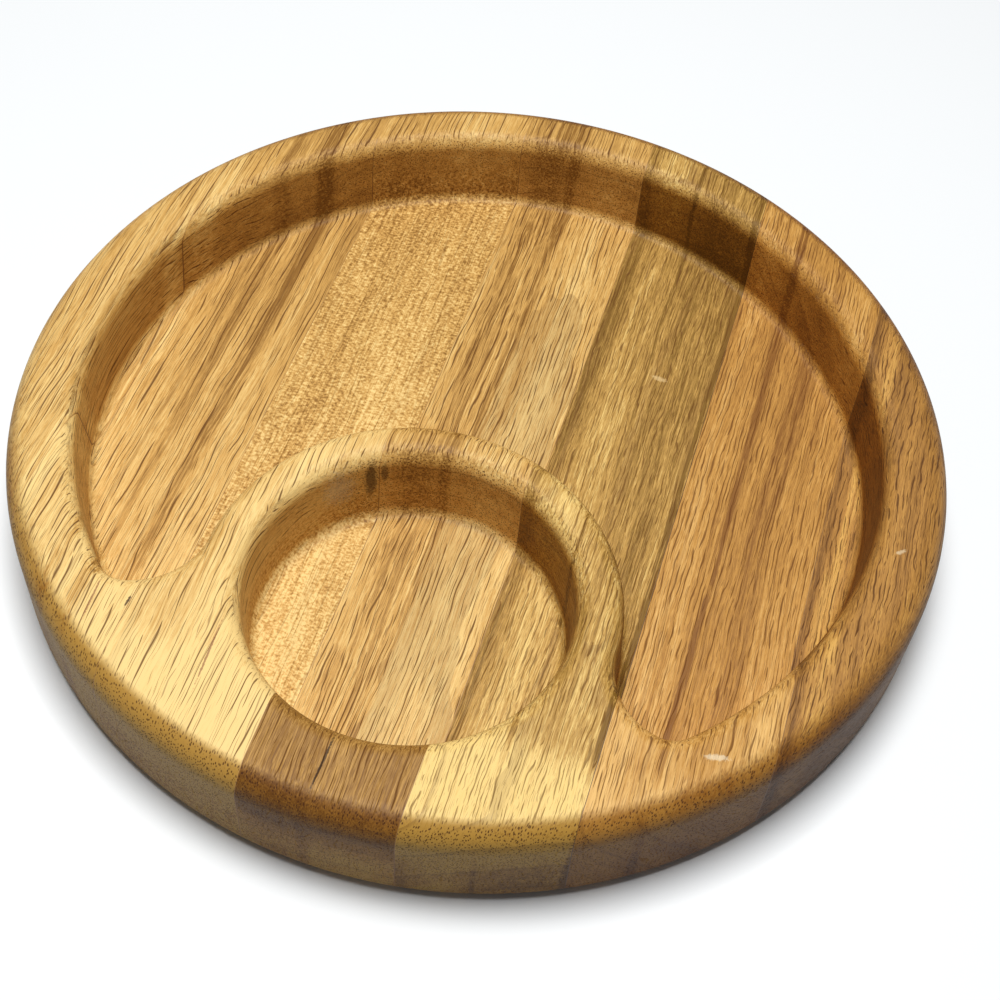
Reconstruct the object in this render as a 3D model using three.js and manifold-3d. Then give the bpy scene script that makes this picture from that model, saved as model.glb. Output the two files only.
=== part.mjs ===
// A round wooden chip and dip server: seven hardwood staves glued edge to edge, turned to a disc,
// with a round dip well and a crescent-shaped chip well routed into its top.
//
// Frame: millimetres, +Z up, origin at the centre of the underside. The grain and the glue lines
// run along Y, the dip well lies towards -Y, and the two wells are mirror images about X = 0.
import * as THREE from "three";
import { mergeVertices } from "three/addons/utils/BufferGeometryUtils.js";
import Module from "manifold-3d";

// ---- driving dimensions ----
const BOARD_RADIUS = 152.5;
const BOARD_HEIGHT = 38;
const TOP_EDGE_RADIUS = 9;
const BOTTOM_EDGE_RADIUS = 6;
const BOARD_SEGMENTS = 108;

const WELL_DEPTH = 28;
const WELL_LIP_RADIUS = 6;
const WELL_FLOOR_RADIUS = 3.5;
const WALL_DRAFT = THREE.MathUtils.degToRad(3);

const DIP_WELL_RADIUS = 50.3;
const DIP_WELL_Y = -74;
const DIP_WELL_SEGMENTS = 64;
const RING_THICKNESS = 14.7;

const CHIP_WELL_RADIUS = 130.7;
const CORNER_INNER_RADIUS = 23;
const CORNER_TIP_RADIUS = 9;

const GLUE_THICKNESS = 0.2;
const GLUE_LINES_X = [-124, -76, -25, 22, 68.5, 116.5];

const STAVES = [
  { name: "left_edge_stave", color: 0xb98a48 },
  { name: "left_outer_stave", color: 0xbf8b47 },
  { name: "left_inner_stave", color: 0xb99655 },
  { name: "centre_stave", color: 0xcfa762 },
  { name: "right_inner_stave", color: 0xa98645 },
  { name: "right_outer_stave", color: 0xc6924f },
  { name: "right_edge_stave", color: 0xb98b44 },
];
const GLUE_NAMES = [
  "left_edge_glue_line",
  "left_outer_glue_line",
  "left_inner_glue_line",
  "right_inner_glue_line",
  "right_outer_glue_line",
  "right_edge_glue_line",
];
const GLUE_COLOR = 0x5a3a18;

// ---- worked-out dimensions ----
const FLOOR_Z = BOARD_HEIGHT - WELL_DEPTH;
const RING_RADIUS = DIP_WELL_RADIUS + RING_THICKNESS;
const CUTTER_TOP_Z = BOARD_HEIGHT + 10;
const BOARD_SPAN = 2 * BOARD_RADIUS + 20;

const wasm = await Module();
wasm.setup();

// ---- from three.js to manifold-3d and back ----

function toSolid(geometry) {
  const bare = geometry.clone();
  bare.deleteAttribute("normal");
  bare.deleteAttribute("uv");
  const merged = mergeVertices(bare);
  return new wasm.Manifold(
    new wasm.Mesh({
      numProp: 3,
      vertProperties: new Float32Array(merged.attributes.position.array),
      triVerts: new Uint32Array(merged.index.array),
    }),
  );
}

function toGeometry(solid) {
  const mesh = solid.getMesh();
  const geometry = new THREE.BufferGeometry();
  geometry.setAttribute("position", new THREE.BufferAttribute(mesh.vertProperties, 3));
  geometry.setIndex(new THREE.BufferAttribute(mesh.triVerts, 1));
  geometry.computeVertexNormals();
  return geometry;
}

// ---- profiles and outlines ----

// Points of an arc about a centre, with both ends included.
function arcPoints(x, y, radius, start, end, steps) {
  return Array.from({ length: steps + 1 }, (_, i) => {
    const angle = start + ((end - start) * i) / steps;
    return new THREE.Vector2(x + radius * Math.cos(angle), y + radius * Math.sin(angle));
  });
}

// A well's wall as steps of height and inset from its outline at the lip: the floor's small
// radius, the straight wall with its draft, and the rounded lip, which runs outwards.
function wallProfile() {
  const floorRise = FLOOR_Z + WELL_FLOOR_RADIUS;
  const lipStart = BOARD_HEIGHT - WELL_LIP_RADIUS;
  const draftInset = (lipStart - floorRise) * Math.tan(WALL_DRAFT);
  const floorArc = arcPoints(
    draftInset + WELL_FLOOR_RADIUS, floorRise, WELL_FLOOR_RADIUS, 1.5 * Math.PI, Math.PI, 3,
  );
  const lipArc = arcPoints(-WELL_LIP_RADIUS, lipStart, WELL_LIP_RADIUS, 0, Math.PI / 2, 5);
  const top = new THREE.Vector2(-WELL_LIP_RADIUS, CUTTER_TOP_Z);
  return [...floorArc, ...lipArc, top].map((p) => ({ inset: p.x, z: p.y }));
}

// One corner of the crescent is two arcs: a wide one that leaves the ring around the dip well,
// and a tight one that runs into the chip well's outer arc. Returns both centres and the angles
// where the arcs meet each other and the outer arc.
function cornerArcs() {
  const wide = new THREE.Vector2(RING_RADIUS + CORNER_INNER_RADIUS, DIP_WELL_Y);
  const step = CORNER_INNER_RADIUS - CORNER_TIP_RADIUS;
  const reach = CHIP_WELL_RADIUS - CORNER_TIP_RADIUS;
  const spread = (reach ** 2 - wide.lengthSq() - step ** 2) / (2 * step * wide.length());
  const meet = wide.angle() - Math.acos(spread);
  const tip = new THREE.Vector2(
    wide.x + step * Math.cos(meet),
    wide.y + step * Math.sin(meet),
  );
  return { wide, tip, meet, leave: tip.angle() };
}

// The crescent's outline, anticlockwise from the right-hand side of the ring, moved inwards by
// inset. Every stretch is an arc, so an inset changes only the radii.
function crescentOutline(inset) {
  const { wide, tip, meet, leave } = cornerArcs();
  const right = [
    ...arcPoints(wide.x, wide.y, CORNER_INNER_RADIUS - inset, Math.PI, meet, 8),
    ...arcPoints(tip.x, tip.y, CORNER_TIP_RADIUS - inset, meet, leave, 6).slice(1),
  ];
  const outer = arcPoints(
    0, 0, CHIP_WELL_RADIUS - inset, leave - 2 * Math.PI, Math.PI - (leave - 2 * Math.PI), 64,
  );
  const left = right.map((p) => new THREE.Vector2(-p.x, p.y)).reverse();
  const ring = arcPoints(0, DIP_WELL_Y, RING_RADIUS + inset, Math.PI, 0, 32);
  return [...right, ...outer.slice(1, -1), ...left, ...ring.slice(1, -1)];
}

function circleOutline(inset) {
  const radius = DIP_WELL_RADIUS - inset;
  return arcPoints(0, DIP_WELL_Y, radius, 0, 2 * Math.PI, DIP_WELL_SEGMENTS).slice(0, -1);
}

// ---- solids ----

// Joins outlines of equal length, one above the other, into a closed solid with flat ends.
function loft(outlines, heights) {
  const count = outlines[0].length;
  const positions = outlines.flatMap((ring, k) => ring.flatMap((p) => [p.x, p.y, heights[k]]));
  const index = [];
  for (let k = 0; k + 1 < outlines.length; k += 1) {
    for (let i = 0; i < count; i += 1) {
      const a = k * count + i;
      const b = k * count + ((i + 1) % count);
      index.push(a, b, b + count, a, b + count, a + count);
    }
  }
  const last = (outlines.length - 1) * count;
  for (const [a, b, c] of THREE.ShapeUtils.triangulateShape(outlines[0], [])) {
    index.push(c, b, a);
  }
  for (const [a, b, c] of THREE.ShapeUtils.triangulateShape(outlines.at(-1), [])) {
    index.push(last + a, last + b, last + c);
  }
  const geometry = new THREE.BufferGeometry();
  geometry.setAttribute("position", new THREE.Float32BufferAttribute(positions, 3));
  geometry.setIndex(index);
  return toSolid(geometry);
}

function wellCutter(outline) {
  const wall = wallProfile();
  return loft(wall.map(({ inset }) => outline(inset)), wall.map(({ z }) => z));
}

// The plain disc, with a small radius around its underside and a larger one around its top.
function discSolid() {
  const lower = BOARD_RADIUS - BOTTOM_EDGE_RADIUS;
  const upper = BOARD_RADIUS - TOP_EDGE_RADIUS;
  const topArcY = BOARD_HEIGHT - TOP_EDGE_RADIUS;
  const profile = [
    new THREE.Vector2(0, 0),
    ...arcPoints(lower, BOTTOM_EDGE_RADIUS, BOTTOM_EDGE_RADIUS, -Math.PI / 2, 0, 4),
    ...arcPoints(upper, topArcY, TOP_EDGE_RADIUS, 0, Math.PI / 2, 5),
    new THREE.Vector2(0, BOARD_HEIGHT),
  ];
  const geometry = new THREE.LatheGeometry(profile, BOARD_SEGMENTS);
  geometry.rotateX(Math.PI / 2);
  return toSolid(geometry);
}

function slab(lowX, highX) {
  const geometry = new THREE.BoxGeometry(highX - lowX, BOARD_SPAN, BOARD_SPAN);
  geometry.translate((lowX + highX) / 2, 0, 0);
  return toSolid(geometry);
}

function boardSolid() {
  return discSolid().subtract(wellCutter(circleOutline)).subtract(wellCutter(crescentOutline));
}

// ---- assembly ----

function woodMaterial(color) {
  return new THREE.MeshStandardMaterial({ color, roughness: 0.45, metalness: 0 });
}

function glueMaterial() {
  return new THREE.MeshStandardMaterial({ color: GLUE_COLOR, roughness: 0.6, metalness: 0 });
}

function addPiece(group, name, solid, material) {
  const mesh = new THREE.Mesh(toGeometry(solid), material);
  mesh.name = name;
  group.add(mesh);
}

function buildServer() {
  const server = new THREE.Group();
  const board = boardSolid();
  const half = GLUE_THICKNESS / 2;
  const edges = [-BOARD_SPAN / 2, ...GLUE_LINES_X, BOARD_SPAN / 2];
  STAVES.forEach(({ name, color }, i) => {
    const piece = board.intersect(slab(edges[i] + half, edges[i + 1] - half));
    addPiece(server, name, piece, woodMaterial(color));
  });
  GLUE_LINES_X.forEach((x, i) => {
    addPiece(server, GLUE_NAMES[i], board.intersect(slab(x - half, x + half)), glueMaterial());
  });
  return server;
}

export default buildServer();
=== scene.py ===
"""The looks of a round wooden chip and dip server.

Seven staves of oiled acacia are glued edge to edge, turned to a disc and routed with a round dip
well and a crescent-shaped chip well. The board's skin is worked out once, as closed surfaces, and
sliced at the glue lines, so that every stave is a solid piece with a grain of its own.

Frame: metres, +Z up, origin at the centre of the underside, grain and glue lines along Y.
"""

import logging
import math
from dataclasses import dataclass
from enum import Enum
from typing import Any

import bmesh
import bpy
import numpy as np
from mathutils import Matrix, Vector, geometry


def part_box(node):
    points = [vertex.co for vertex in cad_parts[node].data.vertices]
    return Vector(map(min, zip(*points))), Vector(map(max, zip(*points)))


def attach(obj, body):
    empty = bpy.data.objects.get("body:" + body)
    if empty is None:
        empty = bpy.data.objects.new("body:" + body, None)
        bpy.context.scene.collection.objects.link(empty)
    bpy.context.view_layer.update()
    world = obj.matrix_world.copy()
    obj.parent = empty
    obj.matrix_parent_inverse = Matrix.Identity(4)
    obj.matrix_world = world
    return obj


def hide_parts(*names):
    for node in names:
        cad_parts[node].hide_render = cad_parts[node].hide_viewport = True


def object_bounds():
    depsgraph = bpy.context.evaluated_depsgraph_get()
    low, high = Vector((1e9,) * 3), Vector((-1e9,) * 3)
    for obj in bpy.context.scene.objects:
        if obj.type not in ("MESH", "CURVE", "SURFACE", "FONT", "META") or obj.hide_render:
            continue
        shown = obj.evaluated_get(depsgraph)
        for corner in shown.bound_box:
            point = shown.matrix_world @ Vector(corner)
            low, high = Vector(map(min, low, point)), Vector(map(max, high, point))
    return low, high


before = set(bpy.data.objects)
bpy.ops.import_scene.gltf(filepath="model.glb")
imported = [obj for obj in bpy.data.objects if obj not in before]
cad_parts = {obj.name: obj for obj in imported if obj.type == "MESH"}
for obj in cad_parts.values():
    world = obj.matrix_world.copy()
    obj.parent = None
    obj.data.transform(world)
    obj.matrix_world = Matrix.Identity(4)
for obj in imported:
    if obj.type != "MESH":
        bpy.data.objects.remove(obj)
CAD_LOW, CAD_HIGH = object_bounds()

logging.basicConfig(level=logging.INFO, format="%(message)s")
LOG = logging.getLogger("server")

BODY = "root"
WELD_DISTANCE = 1e-6
MM_PER_METRE = 1000.0

Socket = bpy.types.NodeSocket
Colour = tuple[float, float, float, float]
Point = tuple[float, float, float]


# ---------------------------------------------------------------- small helpers


def linear_colour(hex_code: str) -> Colour:
    """Turns an sRGB hex colour into linear RGBA.

    Args:
        hex_code: A colour such as "#c89a52".

    Returns:
        Red, green, blue and alpha, linear, from 0 to 1.
    """
    channels = np.array([int(hex_code[i : i + 2], 16) for i in (1, 3, 5)]) / 255.0
    toe = channels / 12.92
    curve = ((channels + 0.055) / 1.055) ** 2.4
    red, green, blue = np.where(channels <= 0.04045, toe, curve)
    return (float(red), float(green), float(blue), 1.0)


def add_node(
    tree: bpy.types.NodeTree,
    kind: str,
    inputs: dict[str | int, Any] | None = None,
    stops: list[tuple[float, str]] | None = None,
    **settings: Any,
) -> bpy.types.Node:
    """Adds a shader node with its settings, socket values and links.

    Args:
        tree: The node tree that gets the node.
        kind: The node's type, without the word ShaderNode.
        inputs: Socket name or number, with a value, a node or a socket to link from.
        stops: Places and hex colours of a colour ramp.
        settings: The node's own properties.

    Returns:
        The new node.
    """
    node = tree.nodes.new("ShaderNode" + kind)
    for name, value in settings.items():
        setattr(node, name, value)
    for place, (position, hex_code) in enumerate(stops or []):
        elements = node.color_ramp.elements
        element = elements[place] if place < len(elements) else elements.new(position)
        element.position = position
        element.color = linear_colour(hex_code)
    for key, value in (inputs or {}).items():
        if isinstance(value, bpy.types.Node):
            value = value.outputs[0]
        if isinstance(value, Socket):
            tree.links.new(value, node.inputs[key])
        else:
            node.inputs[key].default_value = value
    return node


def new_material(name: str) -> tuple[bpy.types.Material, bpy.types.NodeTree, bpy.types.Node]:
    """Makes an empty node material.

    Args:
        name: The material's name.

    Returns:
        The material, its node tree and its Principled shader, which is already the output.
    """
    material = bpy.data.materials.new(name)
    material.use_nodes = True
    tree = material.node_tree
    tree.nodes.clear()
    shader = add_node(tree, "BsdfPrincipled")
    add_node(tree, "OutputMaterial", {"Surface": shader})
    return material, tree, shader


def ramp(
    tree: bpy.types.NodeTree, value: Socket, start: float, end: float,
    low: float = 0.0, high: float = 1.0,
) -> Socket:
    """A smooth step: low up to start, high from end, and 3t^2 - 2t^3 of the way in between.

    Args:
        tree: The material's node tree.
        value: The quantity that the step follows.
        start: Where the step begins.
        end: Where it ends, which may be below start.
        low: The result at start.
        high: The result at end.

    Returns:
        The stepped quantity.
    """
    return add_node(
        tree, "MapRange",
        {"Value": value, "From Min": start, "From Max": end, "To Min": low, "To Max": high},
        interpolation_type="SMOOTHSTEP",
    ).outputs[0]


def facing(tree: bpy.types.NodeTree, coordinates: bpy.types.Node) -> bpy.types.Node:
    """How squarely a surface faces along X, Y and Z, each from 0 to 1.

    Args:
        tree: The material's node tree.
        coordinates: Its Texture Coordinate node.

    Returns:
        A node with one output for each axis.
    """
    size = add_node(tree, "VectorMath", {0: coordinates.outputs["Normal"]}, operation="ABSOLUTE")
    return add_node(tree, "SeparateXYZ", {0: size})


def times(tree: bpy.types.NodeTree, one: Socket, other: Socket | float) -> Socket:
    """The product of two quantities."""
    return add_node(tree, "Math", {0: one, 1: other}, operation="MULTIPLY").outputs[0]


def rest_of(tree: bpy.types.NodeTree, value: Socket) -> Socket:
    """What is left of 1 once value is taken away."""
    return add_node(tree, "Math", {0: 1.0, 1: value}, operation="SUBTRACT").outputs[0]


def add_times(
    tree: bpy.types.NodeTree, start: Socket | float, value: Socket, factor: Socket | float
) -> Socket:
    """The sum start + value times factor."""
    return add_node(
        tree, "Math", {0: value, 1: factor, 2: start}, operation="MULTIPLY_ADD"
    ).outputs[0]


def vary(
    tree: bpy.types.NodeTree, value: Socket | float, pattern: Socket, strength: float
) -> Socket:
    """Adds a pattern from 0 to 1 to a value: value + (pattern - 0.5) times strength."""
    centred = add_node(tree, "Math", {0: pattern, 1: 0.5}, operation="SUBTRACT").outputs[0]
    return add_times(tree, value, centred, strength)


def arc(
    centre: tuple[float, float], radius: float, start: float, stop: float, steps: int
) -> np.ndarray:
    """Points on an arc: centre plus radius times (cosine, sine) of evenly spaced angles.

    Args:
        centre: The arc's centre.
        radius: Its radius.
        start: First angle, in radians.
        stop: Last angle, in radians.
        steps: Number of equal steps between them.

    Returns:
        An array of steps + 1 points.
    """
    angles = np.linspace(start, stop, steps + 1)
    return np.asarray(centre) + radius * np.column_stack([np.cos(angles), np.sin(angles)])


def inside(points: np.ndarray, outline: np.ndarray) -> np.ndarray:
    """Tells which points lie inside a closed outline.

    A ray along +X from the point crosses the outline an odd number of times when it is inside.

    Args:
        points: Points to test, one a row.
        outline: The outline's corners, one a row.

    Returns:
        One truth value for each point.
    """
    a, b = outline, np.roll(outline, -1, axis=0)
    y = points[:, 1:2]
    straddles = (a[:, 1] > y) != (b[:, 1] > y)
    rise = np.where(b[:, 1] == a[:, 1], 1.0, b[:, 1] - a[:, 1])
    crossing = a[:, 0] + (y - a[:, 1]) * (b[:, 0] - a[:, 0]) / rise
    return (straddles & (points[:, 0:1] < crossing)).sum(axis=1) % 2 == 1


# ---------------------------------------------------------------- shapes


@dataclass(frozen=True)
class WellWall:
    """The section that the router cut leaves: floor radius, drafted wall and rounded lip."""

    depth: float = 0.028
    lip_radius: float = 0.006
    floor_radius: float = 0.0035
    draft: float = math.radians(3.0)
    flat_margin: float = 0.0004

    def section(self, top: float) -> np.ndarray:
        """Works out the wall as steps of inset and height, from the floor to the lip.

        Args:
            top: Height of the board's top face.

        Returns:
            Rows of inset from the outline and height. A short flat step at each end keeps the
            floor and the top face evenly lit.
        """
        rise = top - self.depth + self.floor_radius
        lip_start = top - self.lip_radius
        foot = (lip_start - rise) * math.tan(self.draft)
        floor_arc = arc(
            (foot + self.floor_radius, rise), self.floor_radius, 1.5 * math.pi, math.pi, 8
        )
        lip_arc = arc((-self.lip_radius, lip_start), self.lip_radius, 0.0, 0.5 * math.pi, 10)
        floor_flat = floor_arc[:1] + (self.flat_margin, 0.0)
        top_flat = lip_arc[-1:] - (self.flat_margin, 0.0)
        return np.vstack([floor_flat, floor_arc, lip_arc, top_flat])


@dataclass(frozen=True)
class DipWell:
    """The round well for the dip."""

    radius: float = 0.0503
    centre_y: float = -0.074
    steps: int = 288

    def outline(self, inset: float) -> np.ndarray:
        """The well's circle, made smaller by inset."""
        circle = arc((0.0, self.centre_y), self.radius - inset, 0.0, 2 * math.pi, self.steps)
        return circle[:-1]


@dataclass(frozen=True)
class ChipWell:
    """The crescent-shaped well for the chips, wrapped around the ring of the dip well."""

    radius: float = 0.1307
    ring_radius: float = 0.065
    ring_centre_y: float = -0.074
    corner_inner_radius: float = 0.023
    corner_tip_radius: float = 0.009

    def outline(self, inset: float) -> np.ndarray:
        """The crescent's outline, anticlockwise, moved inwards by inset.

        Each corner is a wide arc that leaves the ring and a tight arc that runs into the outer
        arc. All stretches are tangent arcs, so an inset changes only their radii.

        Args:
            inset: Distance inwards, negative for outwards.

        Returns:
            The outline's points, the same number for every inset.
        """
        wide = np.array([self.ring_radius + self.corner_inner_radius, self.ring_centre_y])
        step = self.corner_inner_radius - self.corner_tip_radius
        reach = self.radius - self.corner_tip_radius
        length = math.hypot(*wide)
        spread = (reach**2 - length**2 - step**2) / (2 * step * length)
        wide_angle = math.atan2(wide[1], wide[0]) + 2 * math.pi
        meet = wide_angle - math.acos(spread)
        tip = wide + step * np.array([math.cos(meet), math.sin(meet)])
        leave = math.atan2(tip[1], tip[0])
        inner_arc = arc(wide, self.corner_inner_radius - inset, math.pi, meet, 40)
        tip_arc = arc(tip, self.corner_tip_radius - inset, meet, leave + 2 * math.pi, 24)[1:]
        right = np.vstack([inner_arc, tip_arc])
        outer = arc((0.0, 0.0), self.radius - inset, leave, math.pi - leave, 520)[1:-1]
        left = (right * (-1.0, 1.0))[::-1]
        ring = arc((0.0, self.ring_centre_y), self.ring_radius + inset, math.pi, 0.0, 180)[1:-1]
        return np.vstack([right, outer, left, ring])


class Skin:
    """A closed surface put together from lofts and flat faces."""

    def __init__(self) -> None:
        """Starts with no surface."""
        self.points: list[np.ndarray] = []
        self.faces: list[list[int]] = []
        self.count = 0

    def add_loft(self, rows: np.ndarray) -> None:
        """Adds a band of quads between closed outlines.

        Point i of row k joins point i + 1 of the same row and both points above them.

        Args:
            rows: Array of rows, points and coordinates.
        """
        levels, width, _ = rows.shape
        k, i = np.meshgrid(np.arange(levels - 1), np.arange(width), indexing="ij")
        right = (i + 1) % width
        quads = np.stack([k * width + i, k * width + right, (k + 1) * width + right,
                          (k + 1) * width + i], axis=-1).reshape(-1, 4)
        self._add(rows.reshape(-1, 3), quads)

    def add_flat(self, outline: np.ndarray, height: float, holes: list[np.ndarray]) -> None:
        """Adds a level face with holes, as a Delaunay triangulation of its outlines.

        Args:
            outline: The face's outer outline.
            height: Its height.
            holes: Outlines of the holes.
        """
        loops = [outline, *holes]
        starts = np.cumsum([0] + [len(loop) for loop in loops])
        edges = [
            (start + i, start + (i + 1) % len(loop))
            for start, loop in zip(starts, loops)
            for i in range(len(loop))
        ]
        plane = [Vector(p) for p in np.vstack(loops).tolist()]
        found, _, triangles, *_ = geometry.delaunay_2d_cdt(plane, edges, [], 1, 1e-9)
        flat = np.array([tuple(p) for p in found])
        corners = np.array(triangles)
        middles = flat[corners].mean(axis=1)
        for hole in holes:
            keep = ~inside(middles, hole)
            corners, middles = corners[keep], middles[keep]
        self._add(np.column_stack([flat, np.full(len(flat), height)]), corners)

    def _add(self, points: np.ndarray, faces: np.ndarray) -> None:
        """Stores points and faces, with the faces' numbers moved past the earlier points."""
        self.points.append(points)
        self.faces.extend((faces + self.count).tolist())
        self.count += len(points)

    def solid(self) -> bmesh.types.BMesh:
        """Welds the seams and turns every face outwards.

        Returns:
            The closed surface, with smooth faces.
        """
        mesh = bpy.data.meshes.new("skin")
        mesh.from_pydata(np.vstack(self.points).tolist(), [], self.faces)
        solid = bmesh.new()
        solid.from_mesh(mesh)
        bpy.data.meshes.remove(mesh)
        bmesh.ops.remove_doubles(solid, verts=solid.verts[:], dist=WELD_DISTANCE)
        bmesh.ops.recalc_face_normals(solid, faces=solid.faces[:])
        for face in solid.faces:
            face.smooth = True
        return solid


@dataclass(frozen=True)
class Board:
    """The whole disc with both wells, before it is sliced into staves."""

    radius: float
    height: float
    top_edge_radius: float = 0.009
    bottom_edge_radius: float = 0.006
    flat_margin: float = 0.0005
    steps: int = 720
    wall: WellWall = WellWall()
    dip_well: DipWell = DipWell()
    chip_well: ChipWell = ChipWell()

    def rim_section(self) -> np.ndarray:
        """Radius and height around the outside, from the underside up to the top face."""
        low = arc(
            (self.radius - self.bottom_edge_radius, self.bottom_edge_radius),
            self.bottom_edge_radius, -0.5 * math.pi, 0.0, 10,
        )
        high = arc(
            (self.radius - self.top_edge_radius, self.height - self.top_edge_radius),
            self.top_edge_radius, 0.0, 0.5 * math.pi, 14,
        )
        margin = (self.flat_margin, 0.0)
        return np.vstack([low[:1] - margin, low, high, high[-1:] - margin])

    def solid(self) -> bmesh.types.BMesh:
        """Builds the board's closed skin.

        The outside is a profile turned about Z. Each well is its outline, inset by the wall's
        section at every height. The underside, the top face and both floors are level faces.

        Returns:
            The closed surface.
        """
        skin = Skin()
        rim = self.rim_section()
        angles = np.linspace(0.0, 2 * math.pi, self.steps, endpoint=False)
        circle = np.column_stack([np.cos(angles), np.sin(angles)])
        rows = np.empty((len(rim), self.steps, 3))
        rows[..., :2] = rim[:, None, 0:1] * circle
        rows[..., 2] = rim[:, 1:2]
        skin.add_loft(rows)
        section = self.wall.section(self.height)
        lips = []
        for well in (self.dip_well, self.chip_well):
            outlines = np.stack([well.outline(inset) for inset in section[:, 0]])
            heights = np.broadcast_to(section[:, None, 1:2], (*outlines.shape[:2], 1))
            skin.add_loft(np.concatenate([outlines, heights], axis=2))
            skin.add_flat(outlines[0], float(section[0, 1]), [])
            lips.append(outlines[-1])
        skin.add_flat(rim[-1, 0] * circle, self.height, lips)
        skin.add_flat(rim[0, 0] * circle, 0.0, [])
        return skin.solid()


def slice_between(solid: bmesh.types.BMesh, low: float, high: float) -> bmesh.types.BMesh:
    """Cuts the part of a solid that lies between two planes across X, and closes both cuts.

    Args:
        solid: The closed surface to cut, which stays as it is.
        low: X of the left-hand plane.
        high: X of the right-hand plane.

    Returns:
        The slice, closed, with the edges of both cuts sharp.
    """
    piece = solid.copy()
    for x, side in ((low, -1.0), (high, 1.0)):
        everything = piece.verts[:] + piece.edges[:] + piece.faces[:]
        cut = bmesh.ops.bisect_plane(
            piece, geom=everything, dist=1e-8, plane_co=(x, 0.0, 0.0),
            plane_no=(side, 0.0, 0.0), clear_outer=True,
        )
        edges = [e for e in cut["geom_cut"] if isinstance(e, bmesh.types.BMEdge)]
        if edges:
            bmesh.ops.triangle_fill(
                piece, edges=edges, use_beauty=True, normal=(side, 0.0, 0.0)
            )
        for edge in edges:
            edge.smooth = False
    return piece


# ---------------------------------------------------------------- finishes


class Figure(Enum):
    """How the fibres of a stave run."""

    STRAIGHT = "straight"
    CURLY = "curly"


@dataclass(frozen=True)
class Stripe:
    """A band of another tone that runs the length of a stave, in millimetres."""

    middle: float
    half_width: float
    tone: float


@dataclass(frozen=True)
class Mark:
    """A small spot on the wood, a blemish or a painted highlight: an ellipsoid with a ragged edge,
    in millimetres.
    """

    centre: tuple[float, float, float]
    reach: tuple[float, float, float]
    colour: str
    strength: float = 0.8
    turn: float = 0.0

    def amount(self, tree: bpy.types.NodeTree, position: Socket) -> Socket:
        """How strongly the mark shows at a point.

        The distance from the centre is counted in reaches, and noise with spots of about 0.7 mm
        is added to it, so that the edge at a distance of 1 is ragged.

        Args:
            tree: The material's node tree.
            position: Object coordinates.

        Returns:
            1 inside the mark and 0 outside.
        """
        placed = add_node(
            tree, "Mapping",
            {
                "Vector": position,
                "Location": tuple(value / MM_PER_METRE for value in self.centre),
                "Rotation": (0.0, 0.0, math.radians(self.turn)),
                "Scale": tuple(value / MM_PER_METRE for value in self.reach),
            },
            vector_type="TEXTURE",
        )
        away = add_node(tree, "VectorMath", {0: placed}, operation="LENGTH").outputs["Value"]
        ragged = add_node(
            tree, "TexNoise", {"Vector": position, "Scale": 1400.0, "Detail": 2.0}
        ).outputs["Fac"]
        return ramp(tree, vary(tree, away, ragged, 1.2), 0.5, 1.1, 1.0, 0.0)


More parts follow.
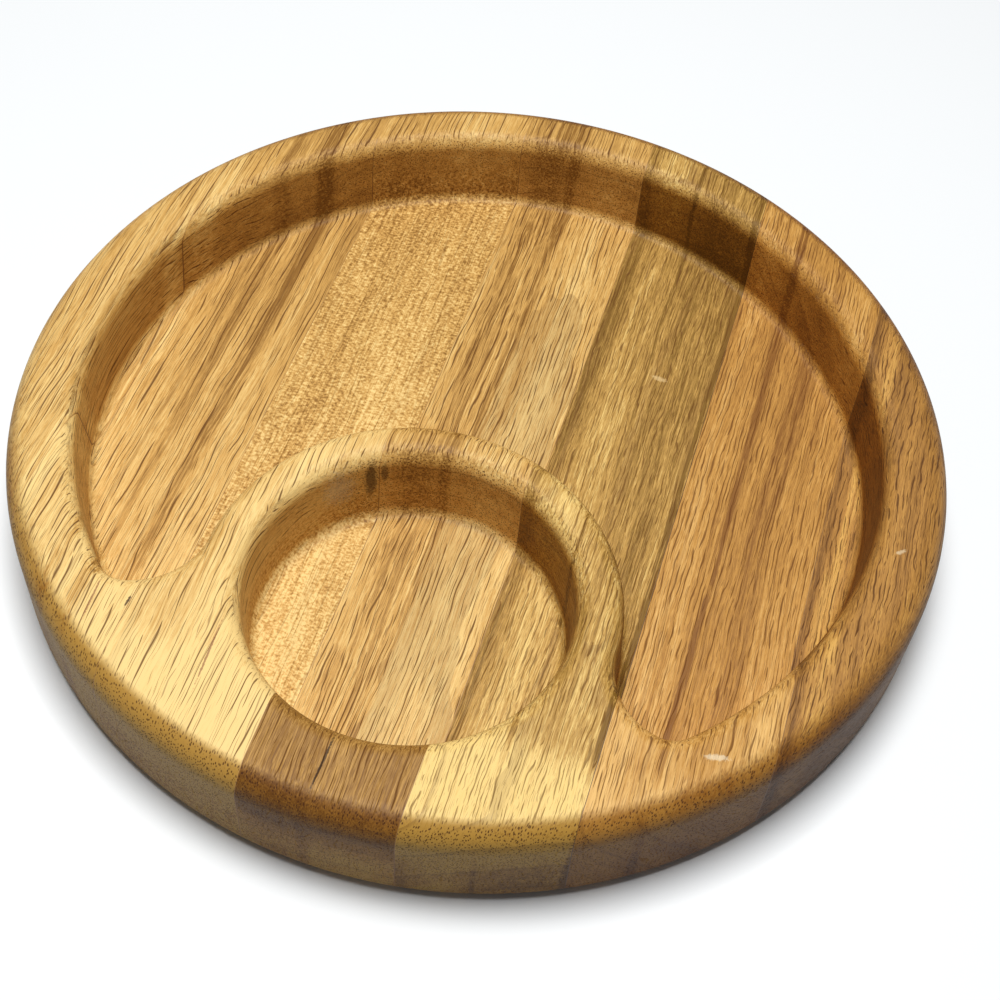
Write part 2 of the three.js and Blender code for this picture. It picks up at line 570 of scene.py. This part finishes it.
@dataclass(frozen=True)
class Grain:
    """Space in millimetres whose Y follows the fibres of one stave.

    Noise bends it in X and Z, once slowly, by millimetres over the length of a hand, and once
    finely, as fibres waver from one pore to the next.
    """

    tree: bpy.types.NodeTree
    space: Socket

    @classmethod
    def bent(cls, tree: bpy.types.NodeTree, position: Socket, start: Point) -> "Grain":
        """Bends the object's space.

        Args:
            tree: The material's node tree.
            position: Object coordinates.
            start: Where in the noise the stave lies, in millimetres.

        Returns:
            The stave's grain.
        """
        placed = add_node(
            tree, "Mapping",
            {
                "Vector": position,
                "Location": start,
                "Rotation": (math.radians(0.8), 0.0, 0.0),
                "Scale": (MM_PER_METRE,) * 3,
            },
        )
        space = placed.outputs[0]
        for reach, length, width, detail in ((8.0, 150, 50, 2.0), (1.3, 24, 9, 1.0)):
            squeezed = cls(tree, placed.outputs[0]).squeezed(width, length)
            noise = add_node(
                tree, "TexNoise", {"Vector": squeezed, "Scale": 1.0, "Detail": detail}
            )
            centred = add_node(
                tree, "VectorMath",
                {0: noise.outputs["Color"], 1: (0.5, 0.5, 0.5)}, operation="SUBTRACT",
            )
            space = add_node(
                tree, "VectorMath", {0: centred, 1: (reach, 0.0, reach), 2: space},
                operation="MULTIPLY_ADD",
            ).outputs[0]
        return cls(tree, space)

    def squeezed(self, width: float, length: float) -> bpy.types.Node:
        """Space whose unit cell is width across and length along the grain, in millimetres."""
        return add_node(
            self.tree, "VectorMath",
            {0: self.space, 1: (1 / width, 1 / length, 1 / width)}, operation="MULTIPLY",
        )

    def noise(
        self, width: float, length: float, detail: float, roughness: float = 0.55
    ) -> Socket:
        """Noise with spots that are long in the grain.

        Args:
            width: Size of a spot across the grain, in millimetres.
            length: Size of a spot along the grain, in millimetres.
            detail: How many finer layers the noise has.
            roughness: How strong each finer layer is.

        Returns:
            The noise, from 0 to 1.
        """
        return add_node(
            self.tree, "TexNoise",
            {
                "Vector": self.squeezed(width, length),
                "Scale": 1.0, "Detail": detail, "Roughness": roughness,
            },
        ).outputs["Fac"]

    def across(self, faces: bpy.types.Node) -> Socket:
        """Distance across the grain along a surface: X on top, and Z on faces towards X.

        Args:
            faces: How squarely the surface faces along each axis.

        Returns:
            The distance, in millimetres.
        """
        side_on = ramp(self.tree, faces.outputs[0], 0.6, 0.75)
        parts = add_node(self.tree, "SeparateXYZ", {0: self.space})
        return add_node(
            self.tree, "Mix", {0: side_on, 2: parts.outputs[0], 3: parts.outputs[2]},
            data_type="FLOAT",
        ).outputs[0]

    def rings(self, heart: Point, spacing: float) -> tuple[Socket, Socket]:
        """Growth rings: the distance from the heart, counted in ring widths.

        Args:
            heart: A point on the middle of the tree, in millimetres.
            spacing: Width of a ring, in millimetres.

        Returns:
            How dark the late wood is, which builds up at the end of a ring and stops at once, and
            a slower tone that changes from ring to ring.
        """
        tree = self.tree
        away = add_node(tree, "VectorMath", {0: self.space, 1: heart}, operation="SUBTRACT")
        level = add_node(tree, "VectorMath", {0: away, 1: (1.0, 0.0, 1.0)}, operation="MULTIPLY")
        distance = add_node(tree, "VectorMath", {0: level}, operation="LENGTH").outputs["Value"]
        uneven = add_node(
            tree, "TexNoise", {"W": times(tree, distance, 0.06), "Scale": 1.0, "Detail": 1.0},
            noise_dimensions="1D",
        ).outputs["Fac"]
        phase = add_times(tree, times(tree, distance, 1 / spacing), uneven, 3.0)
        part = add_node(tree, "Math", {0: phase}, operation="FRACT").outputs[0]
        band = add_node(
            tree, "TexNoise", {"W": times(tree, phase, 1.3), "Scale": 1.0, "Detail": 2.0},
            noise_dimensions="1D",
        )
        return ramp(tree, part, 0.86, 0.97), band.outputs["Fac"]

    def pores(self, width: float) -> Socket:
        """Thin closed tubes along the grain, one in each cell of a stretched Voronoi pattern.

        Args:
            width: Cell size across the grain, in millimetres. A cell is 18 times as long.

        Returns:
            1 inside a pore and 0 outside.
        """
        cells = add_node(
            self.tree, "TexVoronoi",
            {"Vector": self.squeezed(width, width * 18.0), "Scale": 1.0},
        )
        return ramp(self.tree, cells.outputs["Distance"], 0.24, 0.38, 1.0, 0.0)

    def lines(self, across: Socket, spacing: float, length: float, half: float) -> Socket:
        """Long vessels cut along the grain: thin wavering lines, broken into dashes.

        Lines stand at a regular spacing in a space that wavers. A second noise sets their width,
        so that each dash tapers off at both ends.

        Args:
            across: Distance across the grain, measured along the surface.
            spacing: Distance between lines, in millimetres.
            length: Length of a dash, in millimetres.
            half: Half of the greatest width of a line, in millimetres.

        Returns:
            1 on a line and 0 off it.
        """
        tree = self.tree
        slow = self.noise(spacing * 4.0, length * 4.0, 0.0)
        across = vary(tree, across, slow, spacing * 3.0)
        quick = self.noise(spacing * 2.0, length * 0.5, 0.0)
        across = vary(tree, across, quick, spacing * 0.7)
        near = add_node(tree, "Math", {0: across, 1: spacing / 2}, operation="PINGPONG")
        width = add_node(
            tree, "MapRange",
            {
                "Value": self.noise(spacing * 0.8, length, 1.0),
                "From Min": 0.44, "From Max": 0.64, "To Min": 0.001, "To Max": half,
            },
        )
        ratio = add_node(tree, "Math", {0: near, 1: width}, operation="DIVIDE").outputs[0]
        return ramp(tree, ratio, 0.4, 1.3, 1.0, 0.0)


@dataclass(frozen=True)
class OiledAcacia:
    """Acacia, sanded and oiled, then rubbed to a satin.

    The wood is a solid pattern: growth rings are cylinders about the tree's heart, bent by slow
    noise, and the pores are thin tubes along the grain. To the eye it is a warm gold with broad
    tone bands. Cut along the grain it shows fine dark dashes, and cut across it, on the rim,
    dots on a darker ground. The oil leaves a soft sheen rather than a gloss.
    """

    name: str
    # Colours: the tone's three stops, the pores, and the painted shade for walls and the outside.
    pale: str = "#ebc982"
    middle: str = "#c89a52"
    deep: str = "#8a6026"
    line: str = "#5a3208"
    wall: str = "#f6ecd6"
    side: str = "#dfe6f0"
    # Patterns, with sizes in millimetres. The heart is given by its X and Z.
    heart: tuple[float, float] = (20.0, -60.0)
    ring_spacing: float = 7.0
    ring_strength: float = 0.25
    band_strength: float = 0.3
    streak_strength: float = 0.5
    fibre_strength: float = 0.7
    line_strength: float = 0.85
    line_spacing: float = 1.9
    dash_length: float = 30.0
    pore_strength: float = 0.85
    # Tone: everywhere; near the top, partly painted light; on top of the near rim, partly a painted
    # highlight; and painted shade, lost per metre towards +Y.
    tone: float = 0.0
    top_light_and_tone: float = 0.0
    near_rim_highlight_and_tone: float = 0.0
    far_shade: float = 0.9
    stripes: tuple[Stripe, ...] = ()
    marks: tuple[Mark, ...] = ()
    seed: float = 0.0
    figure: Figure = Figure.STRAIGHT

    def _striped(
        self, tree: bpy.types.NodeTree, tone: Socket, place: Socket, grain: Grain, near: Socket
    ) -> Socket:
        """Adds the stripes to the tone, broken up along the grain and faint on the near rim.

        Args:
            tree: The material's node tree.
            tone: The tone so far.
            place: The X coordinate.
            grain: The stave's grain.
            near: 1 on top of the near rim and 0 elsewhere.

        Returns:
            The new tone.
        """
        across = times(tree, place, MM_PER_METRE)
        across = vary(tree, across, grain.noise(40.0, 120.0, 1.0), 4.0)
        grainy = ramp(tree, grain.noise(0.9, 70.0, 2.0), 0.3, 0.7, 0.1, 1.9)
        grainy = times(tree, grainy, add_times(tree, 1.0, near, -0.8))
        for stripe in self.stripes:
            offset = add_node(
                tree, "Math", {0: across, 1: stripe.middle}, operation="SUBTRACT"
            )
            distance = add_node(tree, "Math", {0: offset}, operation="ABSOLUTE").outputs[0]
            half = stripe.half_width
            strength = ramp(tree, distance, half * 0.3, half * 1.5, stripe.tone, 0.0)
            tone = add_times(tree, tone, strength, grainy)
        return tone

    def _tone(
        self, tree: bpy.types.NodeTree, parts: bpy.types.Node, grain: Grain, upper: Socket,
        layers: tuple[tuple[Socket, float], ...],
    ) -> Socket:
        """Adds up the tone of the wood, from 0 for deep to 1 for pale.

        Args:
            tree: The material's node tree.
            parts: Object coordinates, separated.
            grain: The stave's grain.
            upper: 1 near the top of the board and 0 at the floor of its wells.
            layers: Grain patterns, each with its strength.

        Returns:
            The tone.
        """
        # Besides the wood's own tone, the near-rim and top terms carry painted light, and the term
        # in Y is painted shade, darker towards +Y.
        near = times(tree, ramp(tree, parts.outputs[1], -0.108, -0.121), upper)
        tone = add_times(tree, 0.5 + self.tone, near, self.near_rim_highlight_and_tone)
        tone = add_times(tree, tone, upper, self.top_light_and_tone)
        tone = add_times(tree, tone, parts.outputs[1], -self.far_shade)
        tone = self._striped(tree, tone, parts.outputs[0], grain, near)
        for pattern, strength in layers:
            tone = vary(tree, tone, pattern, strength)
        if self.figure is Figure.CURLY:
            # The curl shows on the floors only, as spots about 1 mm across.
            curl = grain.noise(1.2, 0.85, 1.5, 0.5)
            centred = add_node(tree, "Math", {0: curl, 1: 0.5}, operation="SUBTRACT").outputs[0]
            tone = add_times(tree, tone, times(tree, centred, rest_of(tree, upper)), 1.5)
        return tone

    def _blend(
        self, tree: bpy.types.NodeTree, colour: Socket, amount: Socket, strength: float,
        other: str, blend: str = "MIX",
    ) -> Socket:
        """Mixes another colour in.

        Args:
            tree: The material's node tree.
            colour: The colour so far.
            amount: Where the other colour shows, from 0 to 1.
            strength: How much of it shows where amount is 1.
            other: The other colour.
            blend: How the two are combined.

        Returns:
            The new colour.
        """
        return add_node(
            tree, "Mix",
            {0: times(tree, amount, strength), 6: colour, 7: linear_colour(other)},
            data_type="RGBA", blend_type=blend,
        ).outputs[2]

    def material(self) -> bpy.types.Material:
        """Makes the stave's material.

        Returns:
            A satin wood with colour bands, ring lines, pores, end grain and a fine relief.
        """
        material, tree, shader = new_material(self.name)
        coordinates = add_node(tree, "TexCoord")
        position = coordinates.outputs["Object"]
        parts = add_node(tree, "SeparateXYZ", {0: position})
        faces = facing(tree, coordinates)
        flat = add_node(tree, "VectorMath", {0: position, 1: (1.0, 1.0, 0.0)}, operation="MULTIPLY")
        radius = add_node(tree, "VectorMath", {0: flat}, operation="LENGTH").outputs["Value"]
        outside = ramp(tree, radius, 0.1425, 0.1455)
        upright = ramp(tree, faces.outputs[2], 0.8, 0.15)
        upper = ramp(tree, parts.outputs[2], 0.013, 0.032)
        # An end-grain look starts at a slight tilt on the outer rim, and late in the wells.
        tilt = add_times(tree, faces.outputs[1], outside, 0.35)
        end_grain = ramp(tree, tilt, 0.45, 0.8)
        long_grain = rest_of(tree, end_grain)
        if self.figure is Figure.CURLY:
            long_grain = times(tree, long_grain, ramp(tree, upper, 0.0, 1.0, 0.35, 1.0))

        start = (self.seed * 37.0, self.seed * 91.0, self.seed * 53.0)
        heart = (start[0] + self.heart[0], 0.0, start[2] + self.heart[1])
        grain = Grain.bent(tree, position, start)
        late, band = grain.rings(heart, self.ring_spacing)
        fibre = grain.noise(0.4, 22.0, 2.0, 0.65)
        across = grain.across(faces)
        lines = grain.lines(across, self.line_spacing, self.dash_length, 0.27)
        hairs = grain.lines(across, self.line_spacing * 0.53, self.dash_length * 0.4, 0.15)
        pores = grain.pores(0.62)
        tone = self._tone(tree, parts, grain, upper, (
            (band, self.band_strength),
            (grain.noise(4.0, 150.0, 3.0), self.streak_strength),
            (grain.noise(1.0, 50.0, 2.0, 0.7), self.streak_strength * 0.7),
            (fibre, self.fibre_strength),
            (grain.noise(0.35, 3.5, 2.0, 0.7), self.fibre_strength * 0.7),
        ))
        colour = add_node(
            tree, "ValToRGB", {"Fac": tone},
            stops=[(0.1, self.deep), (0.5, self.middle), (0.9, self.pale)],
        ).outputs[0]
        colour = self._blend(tree, colour, late, self.ring_strength, self.line)
        for pattern, face, strength in (
            (hairs, long_grain, self.line_strength * 0.6),
            (lines, long_grain, self.line_strength),
            (pores, end_grain, self.pore_strength),
        ):
            colour = self._blend(tree, colour, times(tree, pattern, face), strength, self.line)
        # Painted shade: upright faces are multiplied by the wall colour in the wells and by the
        # greyish side colour outside.
        for face, where, other in (
            (upright, rest_of(tree, outside), self.wall),
            (upright, outside, self.side),
            # Oil soaks deeper into cut fibres, so end grain on the rim is darker.
            (end_grain, outside, "#bda878"),
        ):
            shown = times(tree, face, where)
            colour = self._blend(tree, colour, shown, 1.0, other, "MULTIPLY")
        for mark in self.marks:
            amount = mark.amount(tree, position)
            colour = self._blend(tree, colour, amount, mark.strength, mark.colour)
        tree.links.new(colour, shader.inputs["Base Color"])
        self._relief(tree, shader, lines, pores, fibre)
        shader.inputs["IOR"].default_value = 1.45
        shader.inputs["Specular IOR Level"].default_value = 0.3
        return material

    def _relief(
        self, tree: bpy.types.NodeTree, shader: bpy.types.Node, lines: Socket, pores: Socket,
        fibre: Socket,
    ) -> None:
        """Sinks the pores, raises the fibres a little and varies the gloss.

        Args:
            tree: The material's node tree.
            shader: Its Principled shader.
            lines: The long vessels.
            pores: The small pores, which are half as deep.
            fibre: The fibre noise.
        """
        pits = add_times(tree, lines, pores, 0.5)
        height = add_node(
            tree, "Math", {0: times(tree, fibre, 0.4), 1: pits}, operation="SUBTRACT"
        )
        bump = add_node(tree, "Bump", {"Height": height, "Strength": 0.6, "Distance": 0.00012})
        tree.links.new(bump.outputs[0], shader.inputs["Normal"])
        rough = add_times(tree, add_times(tree, 0.46, fibre, 0.16), pits, 0.2)
        tree.links.new(rough, shader.inputs["Roughness"])


@dataclass(frozen=True)
class HardenedGlue:
    """Cured wood glue in a tight joint: a thin, slightly uneven line, darker than the wood."""

    name: str = "hardened_wood_glue"
    light: str = "#b38748"
    dark: str = "#7d5526"

    def material(self) -> bpy.types.Material:
        """Makes the glue's material, which is darker where the joint is a little open.

        Returns:
            A plain satin brown, with painted shade on the walls and the outside, like the wood
            there.
        """
        material, tree, shader = new_material(self.name)
        coordinates = add_node(tree, "TexCoord")
        noise = add_node(
            tree, "TexNoise",
            {"Vector": coordinates.outputs["Object"], "Scale": 60.0, "Detail": 3.0},
        )
        colour = add_node(
            tree, "ValToRGB", {"Fac": noise.outputs["Fac"]},
            stops=[(0.35, self.dark), (0.65, self.light)],
        )
        # Painted shade: upright faces of the glue are multiplied darker.
        upright = ramp(tree, facing(tree, coordinates).outputs[2], 0.8, 0.15)
        painted_wall_shade = add_node(
            tree, "Mix", {0: upright, 6: colour, 7: linear_colour("#b39a70")},
            data_type="RGBA", blend_type="MULTIPLY",
        )
        tree.links.new(painted_wall_shade.outputs[2], shader.inputs["Base Color"])
        shader.inputs["Roughness"].default_value = 0.5
        shader.inputs["IOR"].default_value = 1.5
        return material


# ---------------------------------------------------------------- pieces


@dataclass(frozen=True)
class Stave:
    """One board of the panel, between two glue lines."""

    node: str
    slot: str
    finish: OiledAcacia

    def build(self, board: bmesh.types.BMesh) -> bpy.types.Object:
        """Slices the stave out of the board and dresses it.

        Args:
            board: The whole board's skin.

        Returns:
            The stave, which stands for its CAD node.
        """
        low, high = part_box(self.node)
        piece = slice_between(board, low.x, high.x)
        return place_piece(self.node + "_wood", piece, self.finish.material(), self.node)


@dataclass(frozen=True)
class GlueLine:
    """The film of glue between two staves."""

    node: str
    finish: HardenedGlue
    slot: str = "wood_glue"

    def build(self, board: bmesh.types.BMesh) -> bpy.types.Object:
        """Slices the film out of the board and dresses it.

        Args:
            board: The whole board's skin.

        Returns:
            The film, which stands for its CAD node.
        """
        low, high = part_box(self.node)
        piece = slice_between(board, low.x, high.x)
        return place_piece(self.node + "_film", piece, self.finish.material(), self.node)


def place_piece(
    name: str, solid: bmesh.types.BMesh, material: bpy.types.Material, node: str
) -> bpy.types.Object:
    """Makes a piece from a solid, and ties it to the frame.

    Args:
        name: The piece's name.
        solid: Its surface, which is freed.
        material: Its material.
        node: The CAD node that it stands for.

    Returns:
        The new object.
    """
    open_edges = sum(not edge.is_manifold for edge in solid.edges)
    mesh = bpy.data.meshes.new(name)
    solid.to_mesh(mesh)
    solid.free()
    mesh.materials.append(material)
    piece = bpy.data.objects.new(name, mesh)
    bpy.context.scene.collection.objects.link(piece)
    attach(piece, BODY)
    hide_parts(node)
    LOG.info("%s: %d faces, %d open edges", name, len(mesh.polygons), open_edges)
    return piece


# ---------------------------------------------------------------- stage


@dataclass(frozen=True)
class Camera:
    """The point of view, given by where it aims and from which side."""

    aim: tuple[float, float, float] = (0.0127, -0.0197, 0.019)
    distance: float = 0.5337
    azimuth: float = math.radians(13.0)
    elevation: float = math.radians(53.0)
    roll: float = math.radians(5.0)
    lens: float = 58.93
    sensor: float = 36.0

    def build(self) -> bpy.types.Object:
        """Makes the camera and sets it as the scene's camera."""
        data = bpy.data.cameras.new("camera")
        data.lens = self.lens
        data.sensor_width = self.sensor
        camera = bpy.data.objects.new("camera", data)
        bpy.context.scene.collection.objects.link(camera)
        level = math.cos(self.elevation)
        back = Vector((
            math.sin(self.azimuth) * level,
            -math.cos(self.azimuth) * level,
            math.sin(self.elevation),
        ))
        turn = (-back).to_track_quat("-Z", "Y").to_matrix().to_4x4()
        place = Matrix.Translation(Vector(self.aim) + back * self.distance)
        camera.matrix_world = place @ turn @ Matrix.Rotation(self.roll, 4, "Z")
        bpy.context.scene.camera = camera
        return camera


@dataclass(frozen=True)
class Studio:
    """A plain pale table top under soft light."""

    floor_size: float = 6.0
    floor_colour: str = "#e6e8e9"
    ambient_colour: str = "#eef2f6"
    ambient_strength: float = 0.12

    def build(self) -> None:
        """Makes the floor, the lights and the pale surroundings."""
        self._floor()
        self._light("overhead_softbox", (-0.06, 0.05, 1.6), 0.7, 32.0, "#ffffff")
        world = bpy.data.worlds.new("surroundings")
        world.use_nodes = True
        background = world.node_tree.nodes["Background"]
        background.inputs["Color"].default_value = linear_colour(self.ambient_colour)
        background.inputs["Strength"].default_value = self.ambient_strength
        bpy.context.scene.world = world
        bpy.context.scene.view_settings.view_transform = "Standard"

    def _floor(self) -> None:
        """Makes the level floor that the server rests on."""
        half = self.floor_size / 2
        mesh = bpy.data.meshes.new("floor")
        corners = [(-half, -half, 0.0), (half, -half, 0.0), (half, half, 0.0), (-half, half, 0.0)]
        mesh.from_pydata(corners, [], [(0, 1, 2, 3)])
        material, _, shader = new_material("pale_table_top")
        shader.inputs["Base Color"].default_value = linear_colour(self.floor_colour)
        shader.inputs["Roughness"].default_value = 0.55
        mesh.materials.append(material)
        floor = bpy.data.objects.new("floor", mesh)
        bpy.context.scene.collection.objects.link(floor)

    def _light(
        self, name: str, place: tuple[float, float, float], size: float, power: float, colour: str
    ) -> None:
        """Makes a square area light that faces the middle of the board.

        Args:
            name: The light's name.
            place: Where it hangs.
            size: Length of its side.
            power: Its power in watts.
            colour: Its colour.
        """
        data = bpy.data.lights.new(name, "AREA")
        data.size = size
        data.energy = power
        data.color = linear_colour(colour)[:3]
        light = bpy.data.objects.new(name, data)
        bpy.context.scene.collection.objects.link(light)
        light.location = place
        light.rotation_euler = (-Vector(place)).to_track_quat("-Z", "Y").to_euler()


# ---------------------------------------------------------------- the server


# Marks that show on more than one stave: a thin line of darker resin, and soaked-in oil.
RESIN_LINE = "#8f5f3c"
SMUDGE = "#3d2308"

# Each stave's wall and side colours are painted shade on its upright faces.
STAVES = (
    Stave("left_edge_stave", "left_edge_wood", OiledAcacia(
        "acacia_left_edge", heart=(40.0, -90.0), top_light_and_tone=0.1, seed=1.0,
        stripes=(Stripe(-125.5, 1.0, 0.2),),
    )),
    Stave("left_outer_stave", "left_outer_wood", OiledAcacia(
        "acacia_left_outer", heart=(-30.0, -70.0), tone=0.02, top_light_and_tone=0.12,
        near_rim_highlight_and_tone=0.12, far_shade=1.9, seed=2.0,
        stripes=(
            Stripe(-121.0, 2.5, 0.15), Stripe(-103.0, 2.0, -0.15), Stripe(-91.0, 2.5, -0.3),
            Stripe(-84.0, 3.0, 0.06),
        ),
        marks=(
            Mark((-87.0, -108.0, 38.0), (0.4, 9.0, 4.0), RESIN_LINE, 0.8, 3.0),
            Mark((-76.6, -105.0, 38.0), (0.5, 2.6, 3.0), "#3f2409", 0.9, -3.0),
        ),
    )),
    Stave("left_inner_stave", "left_inner_wood", OiledAcacia(
        "curly_acacia_left_inner", heart=(15.0, -110.0), ring_spacing=11.0, ring_strength=0.1,
        line_spacing=2.2, tone=0.06, top_light_and_tone=0.12, near_rim_highlight_and_tone=0.14, far_shade=1.2, seed=3.0,
        stripes=(Stripe(-66.0, 9.0, -0.1), Stripe(-42.0, 6.0, 0.08)),
        figure=Figure.CURLY,
        marks=(
            Mark((-47.5, -114.0, 38.0), (0.4, 13.0, 4.0), RESIN_LINE, 0.8, 3.0),
            Mark((-27.3, -32.0, 28.0), (2.0, 9.0, 9.0), SMUDGE, 0.75),
            # A painted sheen: pale grey streaks on the dip well's wall.
            Mark((-38.0, -36.0, 27.0), (7.0, 8.0, 9.0), "#d6c8aa", 0.4),
        ),
    )),
    # The centre stave's lower top tone paints shade on the ring crown.
    Stave("centre_stave", "centre_wood", OiledAcacia(
        "acacia_centre", heart=(5.0, -80.0), line_spacing=1.5, dash_length=20.0, tone=0.09,
        wall="#fff6e4", top_light_and_tone=-0.06, near_rim_highlight_and_tone=-0.44, seed=4.0,
        stripes=(
            Stripe(-14.0, 7.0, -0.2), Stripe(-5.0, 2.0, -0.25), Stripe(10.0, 7.0, 0.08),
        ),
        marks=(
            Mark((-4.0, -136.0, 38.0), (0.45, 12.0, 4.0), "#2e1905", 0.85, -2.0),
            Mark((-23.5, -30.0, 30.0), (1.2, 8.0, 5.0), SMUDGE, 0.6),
        ),
    )),
    Stave("right_inner_stave", "right_inner_wood", OiledAcacia(
        "olive_acacia_right_inner", pale="#e8c67a", middle="#b98f48", deep="#7d5b20",
        wall="#cbb077", heart=(60.0, -60.0), line_spacing=1.3, dash_length=10.0,
        line_strength=0.65, fibre_strength=0.95, tone=-0.07, top_light_and_tone=0.14, near_rim_highlight_and_tone=0.27,
        seed=5.0,
        stripes=(
            Stripe(24.0, 2.0, -0.15), Stripe(34.0, 6.0, 0.14), Stripe(43.5, 0.8, -0.3),
            Stripe(57.0, 10.0, -0.16), Stripe(67.9, 1.1, -0.75),
        ),
        marks=(Mark((49.0, 57.0, 10.0), (3.1, 1.2, 1.5), "#e3c48c", 0.5, -8.0),),
    )),
    Stave("right_outer_stave", "right_outer_wood", OiledAcacia(
        "acacia_right_outer", pale="#dfb26a", middle="#bb8840", deep="#855722",
        line="#5c3008", wall="#fbeac4", side="#c6c8cc", heart=(-50.0, -75.0), line_spacing=1.4,
        dash_length=14.0, line_strength=0.75, tone=-0.07, top_light_and_tone=0.1, near_rim_highlight_and_tone=0.14,
        seed=6.0,
        stripes=(
            Stripe(75.0, 5.0, 0.14), Stripe(85.0, 1.4, -0.35), Stripe(97.0, 5.0, -0.08),
            Stripe(110.0, 3.5, 0.1),
        ),
        # A painted highlight on the near rim.
        marks=(Mark((100.0, -100.0, 38.0), (4.0, 1.2, 3.0), "#f0e4c4", 0.45, 12.0),),
    )),
    Stave("right_edge_stave", "right_edge_wood", OiledAcacia(
        "acacia_right_edge", pale="#d0a052", middle="#ac7b3a", deep="#7b5324",
        line="#4e2a0c", wall="#c8a870", side="#c0c2c6", heart=(-40.0, -50.0), line_spacing=1.6,
        dash_length=9.0, tone=-0.06, top_light_and_tone=-0.03, near_rim_highlight_and_tone=0.14, seed=7.0,
        stripes=(Stripe(118.0, 1.4, -0.2), Stripe(123.0, 3.0, 0.2)),
        # A painted highlight on the right rim.
        marks=(Mark((139.0, -12.0, 37.5), (2.2, 0.8, 2.5), "#ecdcb6", 0.4, 40.0),),
    )),
)
GLUE_LINES = (
    GlueLine("left_edge_glue_line", HardenedGlue("pale_glue_left_edge", "#bd9152", "#a67a40")),
    GlueLine("left_outer_glue_line", HardenedGlue("glue_left_outer")),
    GlueLine("left_inner_glue_line", HardenedGlue("glue_left_inner")),
    GlueLine("right_inner_glue_line", HardenedGlue("glue_right_inner")),
    GlueLine(
        "right_outer_glue_line", HardenedGlue("dark_glue_right_outer", "#6b4518", "#3f260c")
    ),
    GlueLine("right_edge_glue_line", HardenedGlue("glue_right_edge", "#8f6430", "#6b471d")),
)


def main() -> None:
    """Builds the camera, the studio, the staves and the glue lines, in that order."""
    Camera().build()
    Studio().build()
    board = Board(radius=CAD_HIGH.x, height=CAD_HIGH.z).solid()
    LOG.info("board: %d faces", len(board.faces))
    for stave in STAVES:
        stave.build(board)
    for line in GLUE_LINES:
        line.build(board)
    board.free()


if __name__ == "__main__":
    main()
